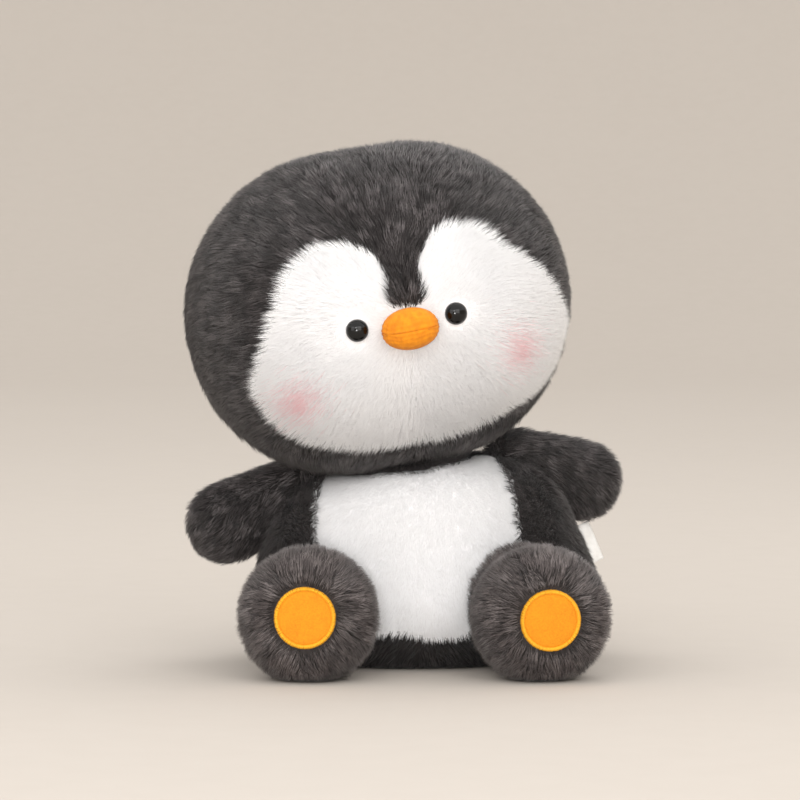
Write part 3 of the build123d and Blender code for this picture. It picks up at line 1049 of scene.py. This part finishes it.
# ------------------------------------------------------------------ beak
def beak():
    """Two stuffed halves that meet in a crease, with brushed fibres standing on them."""
    names = ["beak_upper_cover", "beak_lower_cover"]
    points = np.concatenate([vertices_of(nodes[n]) for n in names])
    side_mid, half_width = middle_along(points, head_side)
    level_mid, half_height = middle_along(points, head_top)
    tip_at = (points @ head_front).max()
    depth = half_height
    centre = np.linalg.solve(head_axes, [side_mid, level_mid, tip_at - depth])
    crease_width, crease_depth, wrinkle_depth = 0.09, 0.009, 0.02
    rng = np.random.default_rng(11)
    for half, sign in (("upper", 1), ("lower", -1)):
        rows, columns = 26, 96
        co, faces = [], []
        for i in range(rows + 1):
            rise = math.pi / 2 * i / rows
            for k in range(columns):
                turn = 2 * math.pi * k / columns
                x, d = math.cos(turn) * math.cos(rise), math.sin(turn) * math.cos(rise)
                z = math.sin(rise) ** 0.92
                crease = math.exp(-((rise / crease_width) ** 2)) * (0.6 + 0.4 * math.sin(3 * turn + 1))
                wave = 28 * rise + 1.6 * math.sin(3 * turn + sign) + 0.7 * math.sin(8 * turn)
                wrinkle = wrinkle_depth * math.sin(wave) * math.exp(-rise * 1.3)
                wrinkle += 0.005 * math.sin(turn * 37 + sign) * math.exp(-rise * 1.5)
                puff = 1.03 - crease_depth * crease + wrinkle
                lift = sign * z * half_height * (1.03 if sign > 0 else 0.98)
                co.append(
                    centre
                    + head_side * x * half_width * puff * 1.04
                    + head_front * d * depth * puff
                    + head_top * lift
                )
        for i in range(rows):
            for k in range(columns):
                n = (k + 1) % columns
                low, high = i * columns, (i + 1) * columns
                quad = (low + k, low + n, high + n, high + k)
                faces.append(quad if sign > 0 else quad[::-1])
        faces.append(tuple(range(columns))[:: -sign])
        piece = raw_mesh(f"beak_{half}_fleece", np.array(co), faces)
        applied(piece, "WELD", merge_threshold=0.02 * MM)
        shaded(piece, beak_look)
        fuzz_root, fuzz_normal = scatter(
            piece, np.ones(len(piece.data.polygons)), 9e6 * THINNER, rng
        )
        keep = (fuzz_root - centre) @ head_front > -4 * MM
        fuzz_root, fuzz_normal = fuzz_root[keep], fuzz_normal[keep]
        lie = unit(fuzz_root - centre) * 0.5 + rng.normal(0, 0.5, fuzz_root.shape)
        lie = along_surface(lie, fuzz_normal)
        long = rng.uniform(0.7, 1.5, len(fuzz_root))[:, None] * MM
        middle = fuzz_root + long * 0.5 * (fuzz_normal * 0.6 + lie * 0.7)
        tip = middle + long * 0.5 * (fuzz_normal * 0.2 + lie)
        # each fibre's root is one shade darker than its tip, a painted shade at the root
        tone = rng.integers(0, 4, len(fuzz_root))
        fuzz = strands(
            f"beak_{half}_fuzz",
            fuzz_root,
            middle,
            tip,
            np.full(len(fuzz_root), 0.045 * MM),
            np.maximum(tone - 1, 0),
            tone,
            strand_looks["orange"],
            fuzz_normal,
            0.6,
        )
        for obj in (piece, fuzz):
            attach(obj, "head")
        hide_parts(f"beak_{half}_cover")
    ball = copy_of(["beak_stuffing"], "beak_ball")
    applied(ball, "REMESH", mode="VOXEL", voxel_size=1.2 * MM)
    core("beak_stuffing_fibre", "beak_stuffing", "head", ball, 0.6 * MM)
    bpy.data.objects.remove(ball)


beak()


# ------------------------------------------------------------------ eyes
def turned_solid(name, base, axis, profile, around=96):
    """A solid of revolution from (radius, height) pairs about an axis through base."""
    across = unit(np.cross(axis, [0.3, 0.2, 1.0]))
    other = np.cross(axis, across)
    co, faces = [], []
    for radius, height in profile:
        for k in range(around):
            a = 2 * math.pi * k / around
            spoke = across * math.cos(a) + other * math.sin(a)
            co.append(base + spoke * radius + axis * height)
    for i in range(len(profile) - 1):
        for k in range(around):
            n = (k + 1) % around
            low, high = i * around, (i + 1) * around
            faces.append((low + k, low + n, high + n, high + k))
    last = (len(profile) - 1) * around
    faces.append(tuple(range(around))[::-1])
    faces.append(tuple(last + k for k in range(around)))
    piece = raw_mesh(name, np.array(co), faces)
    return applied(piece, "WELD", merge_threshold=0.01 * MM)


for side in ("left", "right"):
    points = vertices_of(nodes[f"eye_{side}"])
    washer = vertices_of(nodes[f"eye_washer_{side}"])
    # the top of the dome is found along a rough axis, and the eye's own axis runs to it
    axis = unit(points.mean(0) - washer.mean(0))
    along = points @ axis
    top = points[along > along.max() - 0.05 * MM].mean(0)
    axis = unit(top - (washer.max(0) + washer.min(0)) / 2)
    shank_end, brim = -18.9 * MM, -6.5 * MM
    profile = [(SHANK_RADIUS, shank_end), (SHANK_RADIUS, brim)]
    profile += [(5.6 * MM, -6.4 * MM), (EYE_RADIUS, -6.0 * MM), (EYE_RADIUS, -5.0 * MM)]
    for step in range(1, DOME_STEPS + 1):
        a = math.pi / 2 * step / DOME_STEPS
        profile.append((EYE_RADIUS * math.cos(a) + 0.01 * MM, (-5.0 + 5.2 * math.sin(a)) * MM))
    eye = shaded(turned_solid(f"eye_{side}_dome", top, axis, profile), eye_look)
    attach(eye, "head")
    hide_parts(f"eye_{side}")
    washer_data = nodes[f"eye_washer_{side}"].data
    washer_data.materials.clear()
    washer_data.materials.append(washer_look)


# ------------------------------------------------------------------ pads and their stitching
def sole_frame(side):
    """Middle of the pad on the sole, the way out of it, and two ways across it."""
    out = leg_axis[side]
    along = vertices_of(nodes[f"sole_pad_{side}"]) @ out
    base = pad_middle(side)
    base = base + out * (along.min() - base @ out)
    across = unit(np.cross(out, [0, 0, 1.0]))
    return base, out, across, np.cross(across, out)


def felt_pad(side):
    """A thick felt disc, a little crowned, with a soft rolled edge."""
    base, out = sole_frame(side)[:2]
    profile = [(0.01 * MM, 0), (PAD_RADIUS, 0), (PAD_RADIUS, 0.7 * MM)]
    for step in range(1, 13):
        share = 1 - step / 12.2
        crown = 1.05 if step == 1 else 1.15 + 0.55 * (1 - share**2)
        profile.append((PAD_RADIUS * share, crown * MM))
    pad = turned_solid(f"sole_pad_{side}_felt", base, out, profile, 128)
    shaded(pad, felt_look)
    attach(pad, f"leg_{side}")
    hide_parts(f"sole_pad_{side}")


def satin_stitch(side):
    """A ring of close thread loops over the edge of the pad."""
    base, out, across, up = sole_frame(side)
    rng = np.random.default_rng(5 if side == "left" else 6)
    loops, round_steps, thick, rise = 150, 9, 0.33 * MM, 1.55 * MM
    co, faces = [], []
    for i in range(loops):
        a = 2 * math.pi * (i + rng.uniform(-0.12, 0.12)) / loops
        spoke = across * math.cos(a) + up * math.sin(a)
        way = -across * math.sin(a) + up * math.cos(a)
        reach = 0.95 * MM * rng.uniform(0.9, 1.12)
        for k in range(round_steps + 1):
            b = math.pi * k / round_steps
            centre = base + spoke * (STITCH_RADIUS - reach * math.cos(b)) + out * (rise * math.sin(b))
            outward = -spoke * math.cos(b) + out * math.sin(b)
            for m in range(6):
                c = math.pi / 3 * m
                co.append(centre + thick * (outward * math.cos(c) + way * math.sin(c)))
        start = i * (round_steps + 1) * 6
        for k in range(round_steps):
            for m in range(6):
                n = (m + 1) % 6
                low, high = start + k * 6, start + (k + 1) * 6
                faces.append((low + m, low + n, high + n, high + m))
        faces.append(tuple(start + m for m in range(6))[::-1])
        faces.append(tuple(start + round_steps * 6 + m for m in range(6)))
    ring_piece = shaded(raw_mesh(f"sole_stitching_{side}_satin", np.array(co), faces), stitch_look)
    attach(ring_piece, f"leg_{side}")
    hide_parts(f"sole_stitching_{side}")


for side in ("left", "right"):
    felt_pad(side)
    satin_stitch(side)


# ------------------------------------------------------------------ label
def care_label():
    """A blank satin strip sewn into the side seam, lying back along the body and gently curled."""
    points = vertices_of(nodes["care_label"])
    low, high = points.min(0), points.max(0)
    seam_top = points[np.argmin(points[:, 0] - points[:, 2])]
    seam_foot = points[np.argmin(points[:, 0] + points[:, 2])]
    along = seam_foot - seam_top
    out = unit(np.array([-along[2], 0, along[0]]))
    reach = 0.45 * (high[0] - low[0])
    stand_off, lift, curl = 4 * MM, 3 * MM, 7 * MM
    columns, rows = 14, 24
    co, faces = [], []
    for i in range(rows + 1):
        for k in range(columns + 1):
            share = k / columns
            edge = seam_top + along * (0.02 + 0.96 * i / rows)
            fold = curl * share**1.6 + 0.5 * MM * math.sin(0.5 * i + 4 * share)
            co.append(edge + out * (reach * share + stand_off) + np.array([0, fold, lift]))
    for i in range(rows):
        for k in range(columns):
            a = i * (columns + 1) + k
            faces.append((a, a + 1, a + columns + 2, a + columns + 1))
    label = raw_mesh("care_label_satin", np.array(co), faces)
    applied(label, "SOLIDIFY", thickness=0.5 * MM, offset=0)
    shaded(label, satin_look)
    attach(label, "torso")
    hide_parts("care_label")


care_label()
